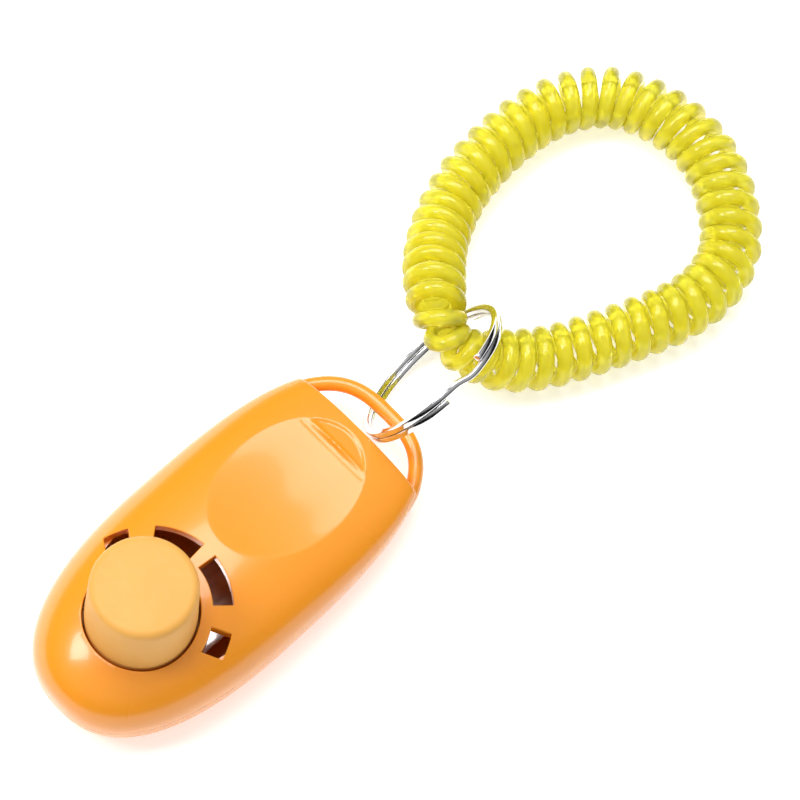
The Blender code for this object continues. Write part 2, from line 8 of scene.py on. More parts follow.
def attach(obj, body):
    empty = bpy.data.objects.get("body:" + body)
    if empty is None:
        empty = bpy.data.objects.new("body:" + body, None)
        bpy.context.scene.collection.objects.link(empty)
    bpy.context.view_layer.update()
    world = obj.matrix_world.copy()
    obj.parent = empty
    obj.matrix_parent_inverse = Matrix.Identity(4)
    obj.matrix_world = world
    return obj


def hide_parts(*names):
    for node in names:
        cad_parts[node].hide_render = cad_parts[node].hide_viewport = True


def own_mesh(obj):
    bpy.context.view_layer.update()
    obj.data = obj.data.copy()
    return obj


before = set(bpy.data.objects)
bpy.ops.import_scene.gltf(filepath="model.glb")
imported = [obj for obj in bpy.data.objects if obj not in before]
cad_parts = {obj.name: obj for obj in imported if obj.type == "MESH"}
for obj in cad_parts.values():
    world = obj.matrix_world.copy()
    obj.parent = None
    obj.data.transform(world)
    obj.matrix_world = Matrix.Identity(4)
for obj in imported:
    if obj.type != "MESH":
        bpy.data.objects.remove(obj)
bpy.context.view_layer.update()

MM = 0.001

# How near two points of a mesh are merged: in a new surface, and along a cut
SURFACE_MERGE = 0.002 * MM
SURFACE_SLIVER = 0.001 * MM
CUT_MERGE = 0.003 * MM

# Camera
CAMERA_AIM = Vector((4.5, 28.05, 26.0)) * MM
CAMERA_AZIMUTH = math.radians(36.45)
CAMERA_ELEVATION = math.radians(68.84)
CAMERA_ROLL = math.radians(9.71)
CAMERA_DISTANCE = 399.9 * MM
CAMERA_LENS = 128.94

# Case outline: two superellipse halves that meet at MID_Y
NOSE_Y = -33.3 * MM
MID_Y = -2.0 * MM
LOOP_END_Y = 32.6 * MM
HALF_WIDTH = 15.7 * MM
NOSE_POWER = 2.45
LOOP_POWER = 2.87
COVER_END_Y = 25.4 * MM
PARTING_Z = 7.4 * MM
SEAM = 0.08 * MM
CREST = 9.4 * MM
CREST_AT_END = 3.7 * MM
CREST_POWER = 3.3
SECTION_POWER = 2.1
FOOT_SCALE = 0.83
WALL = 1.6 * MM
TUB_WALL = 2.0 * MM
FLOOR = 1.8 * MM
BOWL_ROUNDNESS = 0.9

# Button and its hole. Heights are measured along the button's axis from the rim.
BUTTON_Y = -17.0 * MM
BUTTON_LEAN = math.radians(5.0)
RIM_Z = 16.0 * MM
HOLE_RADIUS = 8.25 * MM
COLLAR_RADIUS = 9.6 * MM
COLLAR_END = -5.2 * MM
CAP_RADIUS = 7.9 * MM
CAP_TOP_RADIUS = 7.6 * MM
CAP_TOP = 10.2 * MM
CAP_EDGE = 1.25 * MM
CAP_EDGE_FLATTENING = 0.04
CAP_CROWN = 0.19 * MM
CAP_WALL = 1.5 * MM
CAP_ROOF = 1.6 * MM
FLANGE_REACH = 1.3 * MM
FLANGE_TOP = -5.5 * MM
FLANGE_LOW = -6.7 * MM
HOLE_ROUNDING = 0.16 * MM
HOLE_LOW = -14.0 * MM
HOLE_HIGH = 6.0 * MM

# Sound slots about the button's axis: two long arcs, and two short slots with parallel ends; angles from +Y
SLOT_INNER = 9.95 * MM
SLOT_OUTER = 12.9 * MM
LONG_SLOT = (5.2, 38.5)
SHORT_SLOT_START = 55.5
SHORT_SLOT_WIDTH = 3.5 * MM
SLOT_CHAMFER = 0.1 * MM
SLOT_LOW = -3.9 * MM
SLOT_HIGH = 3.0 * MM

# Thumb dish and the shelf behind it
DISH_Y = 11.0 * MM
DISH_HALF_WIDTH = 9.2 * MM
DISH_HALF_LENGTH = 13.1 * MM
DISH_DEPTH = 1.5 * MM
SHELF_Y = 20.8 * MM
SHELF_DEPTH = 0.35 * MM
SHELF_STEP_START = -0.45 * MM
SHELF_STEP_END = 0.15 * MM
RIDGE_SHIFT = 0.1 * MM
RIDGE_HEIGHT = 0.24 * MM
RIDGE_SPREAD = 0.34 * MM
TROUGH_SHIFT = -0.8 * MM
TROUGH_DEPTH = 0.05 * MM
TROUGH_SPREAD = 0.3 * MM
DISH_SOFTNESS = 0.05 * MM
DISH_EDGE = (0.945, 0.995)
END_ROUNDING = 0.35 * MM
DISH_WALL = 1.2 * MM

# Click plate, its clamp screws, and the screws that close the case
PLATE_HALF_WIDTH = 8.6 * MM
PLATE_THICKNESS = 0.35 * MM
PLATE_FRONT_Y = -25.0 * MM
PLATE_REAR_Y = 14.4 * MM
PLATE_LOW_Z = 4.3 * MM
PLATE_RISE = 3.55 * MM
PLATE_BEND_Y = 6.8 * MM
PLATE_CURVE = 1.3
PLATE_INSET = 4.1 * MM
PLATE_EDGE = 0.05 * MM
CLAMP_Y = 10.8 * MM
CLAMP_SCREW_X = 5.0 * MM
CASE_SCREW_X = 8.6 * MM
CASE_SCREW_Y = 18.0 * MM
SCREW_BORE = 1.15 * MM
HEAD_BORE = 2.0 * MM
HEAD_POCKET_TOP_Z = 2.2 * MM
POST_RADIUS = 2.3 * MM

# Key loop
LOOP_BAR = 2.25 * MM
LOOP_LOW_Z = 4.8 * MM
LOOP_TOP_Z = 7.25 * MM
LOOP_ARM = 5.0 * MM
LOOP_ARM_SINK = 1.3 * MM

# Split ring
RING_CENTRE = Vector((1.6, 38.8, 12.2)) * MM
RING_NORMAL = Vector((0.872, 0.13, -0.49)).normalized()
RING_RADIUS = 12.5 * MM
RING_RADIAL = 1.15 * MM
RING_STRIP = 0.95 * MM
RING_STEP = 1.0 * MM

# Where the ring's wire starts, steps over and ends, as angles from the band's side towards the raised edge
WIRE_START = math.radians(78.0)
WIRE_STEP_AT = math.radians(95.0)
WIRE_STEP_WIDTH = math.radians(11.0)
WIRE_END = math.radians(112.0)
WIRE_END_SIZES = (0.97, 0.88, 0.0)
WIRE_END_REACH = 0.004
WIRE_SQUARENESS = 0.5

# Wrist coil: the cord's own diameter, the coil's outer radius, and its turns
CORD_DIAMETER = 2.5 * MM
COIL_RADIUS = 4.85 * MM
COIL_WAIST = 3.5 * MM
COIL_WAIST_REACH = 5.6 * MM
COIL_TURNS = 47
POINTS_PER_TURN = 30
COIL_ROUTE = (
    (-0.3, 45.0, 9.9), (-4.5, 46.2, 11.8), (-9.2, 50.0, 10.2), (-13.4, 54.8, 7.2), (-16.7, 60.4, 5.4),
    (-18.8, 66.4, 5.1), (-19.7, 73.4, 5.1), (-19.5, 80.8, 5.1), (-17.7, 87.6, 5.1), (-13.9, 93.1, 5.1),
    (-8.1, 96.4, 5.1), (-0.9, 97.6, 5.1), (6.2, 96.2, 5.1), (12.4, 92.4, 5.1), (16.9, 87.6, 5.1),
    (18.7, 81.4, 5.1), (18.0, 75.0, 5.1), (15.7, 68.4, 5.1), (12.9, 61.6, 5.1), (10.2, 56.0, 5.2),
    (7.2, 51.2, 6.0), (3.8, 47.2, 7.8),
)


# ---------------------------------------------------------------- hand tools

def clear_selection():
    bpy.ops.object.select_all(action="DESELECT")
    bpy.context.view_layer.objects.active = None


def pick(thing):
    clear_selection()
    thing.select_set(True)
    bpy.context.view_layer.objects.active = thing
    return thing


def named(name):
    """Names the piece that an operator has just added."""
    thing = bpy.context.active_object
    thing.name = name
    thing.data.name = name
    return thing


def in_edit(thing, *steps):
    """Runs edit-mode steps with all of the piece selected."""
    pick(thing)
    bpy.ops.object.mode_set(mode="EDIT")
    bpy.ops.mesh.select_all(action="SELECT")
    for step in steps:
        step()
    bpy.ops.object.mode_set(mode="OBJECT")
    return thing


def close_seams(thing):
    """Merges seams and poles, and turns the faces outwards."""
    return in_edit(
        thing,
        lambda: bpy.ops.mesh.remove_doubles(threshold=SURFACE_MERGE),
        lambda: bpy.ops.mesh.dissolve_degenerate(threshold=SURFACE_SLIVER),
        lambda: bpy.ops.mesh.normals_make_consistent(inside=False),
    )


def surface(name, columns, rows, place):
    """A grid shaped point by point: place(column, row) says where each point goes."""
    clear_selection()
    bpy.ops.mesh.primitive_grid_add(x_subdivisions=columns, y_subdivisions=rows, size=1.0)
    thing = named(name)
    for vertex in thing.data.vertices:
        column = round((vertex.co.x + 0.5) * columns)
        row = round((vertex.co.y + 0.5) * rows)
        vertex.co = place(column, row)
    return close_seams(thing)


def turned(name, profile, steps):
    """A piece spun about Z from (radius, height) points, first to last, that start and end on the axis."""
    clear_selection()
    bpy.ops.mesh.primitive_plane_add(size=MM)
    thing = named(name)
    pick(thing)
    bpy.ops.object.mode_set(mode="EDIT")
    bpy.ops.mesh.select_all(action="SELECT")
    bpy.ops.mesh.merge(type="CENTER")
    here = Vector((profile[0][0], 0.0, profile[0][1]))
    bpy.ops.transform.translate(value=here)
    for radius, height in profile[1:]:
        there = Vector((radius, 0.0, height))
        bpy.ops.mesh.extrude_vertices_move(TRANSFORM_OT_translate={"value": there - here})
        here = there
    bpy.ops.mesh.select_all(action="SELECT")
    bpy.ops.mesh.spin(steps=steps, angle=math.tau, center=(0.0, 0.0, 0.0), axis=(0.0, 0.0, 1.0))
    bpy.ops.object.mode_set(mode="OBJECT")
    return close_seams(thing)


def put(thing, matrix):
    """Moves a finished shape to its place, with the object itself left at the origin."""
    thing.data.transform(matrix)
    thing.data.update()
    return thing


def combine(thing, other, operation):
    """Cuts or joins, removes the tool, and clears up the mesh along the cut."""
    pick(thing)
    step = thing.modifiers.new(operation.lower(), "BOOLEAN")
    step.operation = operation
    step.solver = "EXACT"
    step.object = other
    bpy.ops.object.modifier_apply(modifier=step.name)
    bpy.data.objects.remove(other, do_unlink=True)
    return in_edit(
        thing,
        lambda: bpy.ops.mesh.remove_doubles(threshold=CUT_MERGE),
        lambda: bpy.ops.mesh.dissolve_degenerate(threshold=CUT_MERGE),
        lambda: bpy.ops.mesh.select_all(action="DESELECT"),
        lambda: bpy.ops.mesh.select_face_by_sides(number=4, type="GREATER"),
        lambda: bpy.ops.mesh.quads_convert_to_tris(),
    )


def joined(things):
    """Several separate shapes as one."""
    clear_selection()
    for thing in things:
        thing.select_set(True)
    bpy.context.view_layer.objects.active = things[0]
    bpy.ops.object.join()
    return things[0]


def smooth(thing, crease):
    """Smooth shading that large faces lead, so that a small rounding stays crisp."""
    pick(thing)
    bpy.ops.object.shade_smooth_by_angle(angle=math.radians(crease))
    lead = thing.modifiers.new("lead", "WEIGHTED_NORMAL")
    lead.mode = "FACE_AREA"
    lead.weight = 50
    lead.keep_sharp = True
    bpy.ops.object.modifier_apply(modifier=lead.name)
    return thing


def as_mesh(thing):
    pick(thing)
    bpy.ops.object.convert(target="MESH")
    return bpy.context.active_object


def smoothstep(low, high, value):
    t = min(max((value - low) / (high - low), 0.0), 1.0)
    return t * t * (3.0 - 2.0 * t)


# ---------------------------------------------------------------- finishes

def finish_nodes(name):
    """A new material, with its node tree and its shader."""
    made = bpy.data.materials.new(name)
    made.use_nodes = True
    tree = made.node_tree
    shader = tree.nodes["Principled BSDF"]
    return made, tree, shader


def object_coordinates(tree):
    return tree.nodes.new("ShaderNodeTexCoord").outputs["Object"]


def noise(tree, where, scale, detail=2.0):
    node = tree.nodes.new("ShaderNodeTexNoise")
    node.inputs["Scale"].default_value = scale
    node.inputs["Detail"].default_value = detail
    node.inputs["Roughness"].default_value = 0.5
    tree.links.new(where, node.inputs["Vector"])
    return node.outputs["Fac"]


def spread(tree, value, low, high):
    """Maps the middle half of a 0 to 1 value, where noise mostly lies, onto low to high."""
    node = tree.nodes.new("ShaderNodeMapRange")
    node.inputs["From Min"].default_value = 0.25
    node.inputs["From Max"].default_value = 0.75
    node.inputs["To Min"].default_value = low
    node.inputs["To Max"].default_value = high
    tree.links.new(value, node.inputs["Value"])
    return node.outputs["Result"]


def tint(tree, value, low, high):
    """Blends two colours over the middle of a 0 to 1 value."""
    node = tree.nodes.new("ShaderNodeValToRGB")
    node.color_ramp.elements[0].position = 0.3
    node.color_ramp.elements[0].color = (*low, 1.0)
    node.color_ramp.elements[1].position = 0.7
    node.color_ramp.elements[1].color = (*high, 1.0)
    tree.links.new(value, node.inputs["Fac"])
    return node.outputs["Color"]


def grain(tree, shader, height, depth, strength):
    """A fine surface relief, depth in metres."""
    bump = tree.nodes.new("ShaderNodeBump")
    bump.inputs["Strength"].default_value = strength
    bump.inputs["Distance"].default_value = depth
    tree.links.new(height, bump.inputs["Height"])
    tree.links.new(bump.outputs["Normal"], shader.inputs["Normal"])


def orange_shell_finish():
    """Glossy moulded plastic: a slight mottle in the colour and a faint flow in the gloss."""
    made, tree, shader = finish_nodes("orange_shell")
    where = object_coordinates(tree)
    mottle = noise(tree, where, 40.0, 0.0)
    colour = tint(tree, mottle, (1.0, 0.345, 0.02), (1.0, 0.355, 0.023))
    tree.links.new(colour, shader.inputs["Base Color"])
    tree.links.new(spread(tree, noise(tree, where, 60.0, 0.0), 0.25, 0.28), shader.inputs["Roughness"])
    shader.inputs["IOR"].default_value = 1.5
    shader.inputs["Coat Weight"].default_value = 0.35
    shader.inputs["Coat Roughness"].default_value = 0.08
    shader.inputs["Subsurface Weight"].default_value = 0.12
    shader.inputs["Subsurface Radius"].default_value = (1.0, 0.32, 0.05)
    shader.inputs["Subsurface Scale"].default_value = 0.0015
    return made


def button_finish():
    """Satin plastic with a very fine spark-eroded texture."""
    made, tree, shader = finish_nodes("button_satin")
    where = object_coordinates(tree)
    colour = tint(tree, noise(tree, where, 120.0, 3.0), (0.84, 0.42, 0.08), (0.88, 0.46, 0.10))
    tree.links.new(colour, shader.inputs["Base Color"])
    tree.links.new(spread(tree, noise(tree, where, 900.0), 0.5, 0.62), shader.inputs["Roughness"])
    shader.inputs["Subsurface Weight"].default_value = 0.1
    shader.inputs["Subsurface Radius"].default_value = (1.0, 0.5, 0.12)
    shader.inputs["Subsurface Scale"].default_value = 0.001
    grain(tree, shader, noise(tree, where, 4500.0, 3.0), 0.00003, 0.25)
    return made


def metal_finish(name, dark, light, rough_low, rough_high, stretch):
    """Metal with fine lines along one way, from noise that is stretched."""
    made, tree, shader = finish_nodes(name)
    where = object_coordinates(tree)
    mapping = tree.nodes.new("ShaderNodeMapping")
    mapping.inputs["Scale"].default_value = stretch
    tree.links.new(where, mapping.inputs["Vector"])
    lines = noise(tree, mapping.outputs["Vector"], 900.0, 4.0)
    tree.links.new(tint(tree, lines, dark, light), shader.inputs["Base Color"])
    tree.links.new(spread(tree, lines, rough_low, rough_high), shader.inputs["Roughness"])
    shader.inputs["Metallic"].default_value = 1.0
    grain(tree, shader, lines, 0.00001, 0.15)
    return made


def coil_finish():
    """Clear yellow elastomer, a little deeper in places, with faint ripples."""
    made, tree, shader = finish_nodes("coil_yellow")
    where = object_coordinates(tree)
    colour = tint(tree, noise(tree, where, 160.0, 2.0), (1.0, 0.89, 0.05), (1.0, 0.94, 0.09))
    tree.links.new(colour, shader.inputs["Base Color"])
    tree.links.new(spread(tree, noise(tree, where, 260.0), 0.05, 0.14), shader.inputs["Roughness"])
    shader.inputs["Transmission Weight"].default_value = 0.6
    shader.inputs["Subsurface Weight"].default_value = 0.3
    shader.inputs["Subsurface Radius"].default_value = (1.0, 0.9, 0.25)
    shader.inputs["Subsurface Scale"].default_value = 0.002
    shader.inputs["IOR"].default_value = 1.42
    grain(tree, shader, noise(tree, where, 520.0, 2.0), 0.00006, 0.3)
    return made


def paint(thing, finish):
    """Gives a piece one finish all over."""
    thing.data.materials.clear()
    thing.data.materials.append(finish)
    return thing


def add(thing, body, slot, finish, *nodes):
    """Gives a finished piece its finish and its body, and hides the nodes that it stands for; slot is not
    used.
    """
    paint(thing, finish)
    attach(thing, body)
    if nodes:
        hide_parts(*nodes)
    return thing


# ---------------------------------------------------------------- camera

def place_camera():
    across = Vector((math.cos(CAMERA_AZIMUTH), math.sin(CAMERA_AZIMUTH), 0.0))
    back = Vector((
        math.sin(CAMERA_AZIMUTH) * math.cos(CAMERA_ELEVATION),
        -math.cos(CAMERA_AZIMUTH) * math.cos(CAMERA_ELEVATION),
        math.sin(CAMERA_ELEVATION),
    ))
    up = back.cross(across)
    right = across * math.cos(CAMERA_ROLL) + up * math.sin(CAMERA_ROLL)
    above = up * math.cos(CAMERA_ROLL) - across * math.sin(CAMERA_ROLL)
    data = bpy.data.cameras.new("camera")
    data.lens = CAMERA_LENS
    data.sensor_width = 36.0
    data.clip_start = 0.01
    data.clip_end = 20.0
    camera = bpy.data.objects.new("camera", data)
    bpy.context.scene.collection.objects.link(camera)
    turn = Matrix((right, above, back)).transposed().to_4x4()
    camera.matrix_world = Matrix.Translation(CAMERA_AIM + back * CAMERA_DISTANCE) @ turn
    bpy.context.scene.camera = camera


# ---------------------------------------------------------------- wrist coil

def closed_curve(points, steps):
    """A closed Catmull-Rom curve through the points."""
    route = []
    count = len(points)
    for i in range(count):
        a, b, c, d = (Vector(points[(i + k) % count]) * MM for k in (-1, 0, 1, 2))
        for s in range(steps):
            t = s / steps
            route.append(0.5 * ((2 * b) + (c - a) * t + (2 * a - 5 * b + 4 * c - d) * t ** 2
                                + (3 * b - a - 3 * c + d) * t ** 3))
    return route


def even_steps(route, count):
    """Points at even distances round a closed route."""
    around = route + [route[0]]
    marks = [0.0]
    for a, b in zip(around, around[1:]):
        marks.append(marks[-1] + (b - a).length)
    points = []
    segment = 0
    for i in range(count + 1):
        target = min(marks[-1] * i / count, marks[-1])
        while segment < len(marks) - 2 and marks[segment + 1] < target:
            segment += 1
        part = (target - marks[segment]) / (marks[segment + 1] - marks[segment])
        points.append(around[segment].lerp(around[segment + 1], min(part, 1.0)))
    return points


def coil_points():
    """The cord's helix about the coil's route, drawn in at the ring."""
    count = COIL_TURNS * POINTS_PER_TURN
    route = even_steps(closed_curve(COIL_ROUTE, 24), count)
    points = []
    for i, centre in enumerate(route):
        ahead = route[(i + 1) % count] - route[(i - 1) % count]
        ahead.normalize()
        side = ahead.cross(Vector((0.0, 0.0, 1.0))).normalized()
        above = side.cross(ahead)
        near = math.exp(-((centre - route[0]).length / COIL_WAIST_REACH) ** 2)
        outer = COIL_RADIUS + (COIL_WAIST - COIL_RADIUS) * near
        angle = math.tau * i / POINTS_PER_TURN
        reach = outer - CORD_DIAMETER / 2
        points.append(centre + (side * math.cos(angle) + above * math.sin(angle)) * reach)
    return points


def wrist_coil(finish):
    """The band: one closed run of coiled cord."""
    points = coil_points()
    curve = bpy.data.curves.new("coiled_cord", "CURVE")
    curve.dimensions = "3D"
    curve.bevel_depth = CORD_DIAMETER / 2
    curve.bevel_resolution = 5
    curve.use_fill_caps = True
    spline = curve.splines.new("POLY")
    spline.points.add(len(points) - 1)
    for point, place in zip(spline.points, points):
        point.co = (*place, 1.0)
    spline.use_smooth = True
    coil = bpy.data.objects.new("coiled_cord", curve)
    bpy.context.scene.collection.objects.link(coil)
    add(coil, "band", "clear_yellow", finish, "wrist_coil")


# ---------------------------------------------------------------- case surface

def egg_radius(bearing, centre_y, inset=0.0, end_y=None):
    """Distance from (0, centre_y) to the outline in one direction, or to the plane that ends the cover."""
    dx = math.cos(bearing)
    dy = math.sin(bearing)

    def outside(reach):
        x = dx * reach
        y = centre_y + dy * reach
        if end_y is not None and y > end_y:
            return True
        length = (LOOP_END_Y - MID_Y if y > MID_Y else MID_Y - NOSE_Y) - inset
        power = LOOP_POWER if y > MID_Y else NOSE_POWER
        return (abs(x) / (HALF_WIDTH - inset)) ** power + (abs(y - MID_Y) / length) ** power > 1.0

    low = 0.0
    high = 60.0 * MM
    for _ in range(40):
        middle = (low + high) / 2
        if outside(middle):
            high = middle
        else:
            low = middle
    return low


def half_width(y, inset=0.0):
    """Half the case's width at one place along it."""
    power = NOSE_POWER if y < MID_Y else LOOP_POWER
    length = (MID_Y - NOSE_Y if y < MID_Y else LOOP_END_Y - MID_Y) - inset
    along = min(abs(y - MID_Y) / length, 1.0)
    return (HALF_WIDTH - inset) * (1.0 - along ** power) ** (1.0 / power)


def crest_height(y):
    """Height of the cover's middle line above the parting plane."""
    past = max(y - BUTTON_Y, 0.0) / (COVER_END_Y - BUTTON_Y)
    height = CREST + (CREST_AT_END - CREST) * past ** 2
    ahead = min(max(MID_Y - y, 0.0) / (MID_Y - NOSE_Y), 1.0)
    return height * (1.0 - ahead ** CREST_POWER) ** (1.0 / CREST_POWER)


def cover_height(x, y, inset=0.0):
    """Height of the cover's bare dome, or of the same dome drawn in by a wall."""
    width = half_width(y, inset)
    across = min(abs(x) / width, 1.0) if width > 0 else 1.0
    rise = max(crest_height(y) - inset, 0.0)
    return PARTING_Z + rise * (1.0 - across ** SECTION_POWER) ** (1.0 / SECTION_POWER)


def dish_place(x, y):
    """How far out a point is in the dish's oval: 0 in its middle, 1 on its edge."""
    return math.hypot(x / DISH_HALF_WIDTH, (y - DISH_Y) / DISH_HALF_LENGTH)


def dish_depth(x, y):
    """Depth of the thumb dish, with its shelf and the ridge between them."""
    out = dish_place(x, y)
    bowl = DISH_DEPTH * (1.0 - out ** 2)
    bowl = 0.5 * (bowl + math.hypot(bowl, DISH_SOFTNESS))
    inside = 1.0 - smoothstep(*DISH_EDGE, out)
    shelf = SHELF_DEPTH * inside
    behind = smoothstep(SHELF_Y + SHELF_STEP_START, SHELF_Y + SHELF_STEP_END, y)
    ridge = RIDGE_HEIGHT * math.exp(-((y - SHELF_Y - RIDGE_SHIFT) / RIDGE_SPREAD) ** 2)
    trough = TROUGH_DEPTH * math.exp(-((y - SHELF_Y - TROUGH_SHIFT) / TROUGH_SPREAD) ** 2)
    return bowl * (1.0 - behind) + shelf * behind + (trough - ridge) * inside


def cover_point(x, y):
    """The cover's outside, with its dish and its rounded rear edge."""
    to_end = min(max(COVER_END_Y - y, 0.0), END_ROUNDING)
    fallen = END_ROUNDING - math.sqrt(END_ROUNDING ** 2 - (END_ROUNDING - to_end) ** 2)
    height = cover_height(x, y) - dish_depth(x, y) - fallen
    return Vector((x, y, max(height, PARTING_Z + SEAM / 2)))


def on_button(x, y, height):
    """A point given about the button's axis, height above the rim."""
    return BUTTON_FRAME @ Vector((x, y, height))


BUTTON_FRAME = Matrix.Translation((0.0, BUTTON_Y, RIM_Z)) @ Matrix.Rotation(-BUTTON_LEAN, 4, "X")


def height_on_button(x, y):
    """Height of the cover above the rim plane, along the button's axis, at a point about that axis."""
    height = 0.0
    for _ in range(8):
        point = on_button(x, y, height)
        height += cover_height(point.x, point.y) - point.z
    return height


# ---------------------------------------------------------------- upper shell

def cover_body():
    """The cover as one closed skin: dish, shoulders, rim and inside."""
    columns = 360
    dish_rows = 64
    shoulder_rows = 66
    wall_rows = 6
    inner_rows = 18
    rows = dish_rows + shoulder_rows + wall_rows + 1 + inner_rows
    corner = math.atan2(COVER_END_Y - DISH_Y, half_width(COVER_END_Y))
    marks = sorted([corner, math.pi - corner] + [math.tau * i / (columns - 2) for i in range(columns - 2)])
    outer = [egg_radius(a, DISH_Y, 0.0, COVER_END_Y) for a in marks]
    inner = [egg_radius(a, DISH_Y, WALL, COVER_END_Y - WALL) for a in marks]
    dish = [1.0 / math.hypot(math.cos(a) / DISH_HALF_WIDTH, math.sin(a) / DISH_HALF_LENGTH) for a in marks]

    def outside_point(k, reach):
        return cover_point(math.cos(marks[k]) * reach, DISH_Y + math.sin(marks[k]) * reach)

    def inside_point(k, reach):
        x = math.cos(marks[k]) * reach
        y = DISH_Y + math.sin(marks[k]) * reach
        under = cover_height(x, y) - dish_depth(x, y) - DISH_WALL
        return Vector((x, y, max(min(cover_height(x, y, WALL), under), PARTING_Z + SEAM / 2)))

    def place(column, row):
        k = column % columns
        if row <= dish_rows:
            return outside_point(k, dish[k] * row / dish_rows)
        row -= dish_rows
        if row <= shoulder_rows:
            t = smoothstep(0.0, 1.0, row / shoulder_rows)
            return outside_point(k, dish[k] + (outer[k] - dish[k]) * t)
        row -= shoulder_rows
        if row <= wall_rows:
            edge = outside_point(k, outer[k])
            edge.z += (PARTING_Z + SEAM / 2 - edge.z) * row / wall_rows
            return edge
        row -= wall_rows + 1
        t = 1.0 - (row / inner_rows) ** 2
        return inside_point(k, inner[k] * t)

    return surface("cover", columns, rows, place)


def collar_body():
    """The tube that guides the button, up into the middle of the cover's wall all round."""
    columns = 96

    def place(column, row):
        angle = math.tau * (column % columns) / columns
        x = COLLAR_RADIUS * math.cos(angle)
        y = COLLAR_RADIUS * math.sin(angle)
        if row == 0:
            return on_button(0.0, 0.0, COLLAR_END)
        if row == 1:
            return on_button(x, y, COLLAR_END)
        if row == 2:
            return on_button(x, y, height_on_button(x, y) - WALL / 2)
        return on_button(0.0, 0.0, -WALL / 2)

    return surface("collar", columns, 3, place)


def hole_cutter():
    """The button's hole, opened out in a small rounding where it meets the cover."""
    columns = 144
    arc = 6
    wide = HOLE_RADIUS + HOLE_ROUNDING

    def place(column, row):
        angle = math.tau * (column % columns) / columns
        c = math.cos(angle)
        s = math.sin(angle)
        if row == 0:
            return on_button(0.0, 0.0, HOLE_LOW)
        if row == 1:
            return on_button(c * HOLE_RADIUS, s * HOLE_RADIUS, HOLE_LOW)
        if row <= arc + 2:
            t = 0.5 * math.pi * (row - 2) / arc
            reach = HOLE_RADIUS + HOLE_ROUNDING * (1.0 - math.cos(t))
            height = height_on_button(c * wide, s * wide) - HOLE_ROUNDING * (1.0 - math.sin(t))
            return on_button(c * reach, s * reach, height)
        if row == arc + 3:
            return on_button(c * wide * 1.02, s * wide * 1.02, HOLE_HIGH)
        return on_button(0.0, 0.0, HOLE_HIGH)

    return surface("hole_cutter", columns, arc + 4, place)


def slot_ends(radius, short):
    """Where a slot starts and stops at one radius, as angles from +Y."""
    if not short:
        return (math.radians(angle) for angle in LONG_SLOT)
    start = math.radians(SHORT_SLOT_START)
    return start, start + math.asin(SHORT_SLOT_WIDTH / radius)


def slot_outline(short, side, grown):
    """A slot's outline about the button's axis, grown by a margin; side is 1 for +X."""
    steps = 20
    points = []
    for radius, order in ((SLOT_INNER - grown, range(steps + 1)), (SLOT_OUTER + grown, range(steps, -1, -1))):
        start, stop = slot_ends(radius, short)
        spare = grown / radius
        for i in order:
            angle = start - spare + (stop - start + 2.0 * spare) * i / steps
            points.append((side * radius * math.sin(angle), radius * math.cos(angle)))
    return points


def slot_cutter(short, side):
    """A sound slot, with a narrow chamfer where it meets the cover."""
    narrow = slot_outline(short, side, 0.0)
    wide = slot_outline(short, side, SLOT_CHAMFER)
    columns = len(narrow)
    middle_x = sum(x for x, y in narrow) / columns
    middle_y = sum(y for x, y in narrow) / columns

    def place(column, row):
        k = column % columns
        if row == 0:
            return on_button(middle_x, middle_y, SLOT_LOW)
        if row == 1:
            return on_button(*narrow[k], SLOT_LOW)
        if row == 2:
            return on_button(*narrow[k], height_on_button(*narrow[k]) - SLOT_CHAMFER)
        if row == 3:
            return on_button(*wide[k], height_on_button(*wide[k]))
        if row == 4:
            return on_button(*wide[k], SLOT_HIGH)
        return on_button(middle_x, middle_y, SLOT_HIGH)

    return surface("slot_cutter", columns, 5, place)


def upper_shell(finish):
    cover = cover_body()
    combine(cover, collar_body(), "UNION")
    cutters = [hole_cutter()] + [slot_cutter(short, side) for short in (False, True) for side in (-1, 1)]
    combine(cover, joined(cutters), "DIFFERENCE")
    smooth(cover, 32.0)
    add(cover, "case", "shell", finish, "upper_shell")


# ---------------------------------------------------------------- lower shell

def tub_body():
    """The bowl under the cover: flat foot, rounded side, rim and hollow."""
    columns = 240
    foot_rows = 4
    side_rows = 26
    inner_rows = 12
    top = PARTING_Z - SEAM / 2
    marks = [math.tau * i / columns for i in range(columns)]
    outer = [egg_radius(a, 0.0) for a in marks]
    inner = [egg_radius(a, 0.0, TUB_WALL) for a in marks]

    def ring(k, radii, share, height, end_y):
        x = math.cos(marks[k]) * radii[k] * share
        y = math.sin(marks[k]) * radii[k] * share
        return Vector((x, min(y, end_y), height))

    def bowl(k, radii, row, count, low, high, end_y):
        angle = 0.5 * math.pi * row / count
        share = FOOT_SCALE + (1.0 - FOOT_SCALE) * math.sin(angle) ** BOWL_ROUNDNESS
        height = low + (high - low) * (1.0 - max(math.cos(angle), 0.0) ** BOWL_ROUNDNESS)
        return ring(k, radii, share, height, end_y)

    def place(column, row):
        k = column % columns
        if row <= foot_rows:
            return ring(k, outer, FOOT_SCALE * row / foot_rows, 0.0, COVER_END_Y)
        row -= foot_rows
        if row <= side_rows:
            return bowl(k, outer, row, side_rows, 0.0, top, COVER_END_Y)
        row -= side_rows
        if row <= inner_rows:
            return bowl(k, inner, inner_rows - row, inner_rows, FLOOR, top, COVER_END_Y - TUB_WALL)
        row -= inner_rows
        return ring(k, inner, FOOT_SCALE * (1.0 - row / foot_rows), FLOOR, COVER_END_Y - TUB_WALL)

    return surface("tub", columns, foot_rows * 2 + side_rows + inner_rows, place)


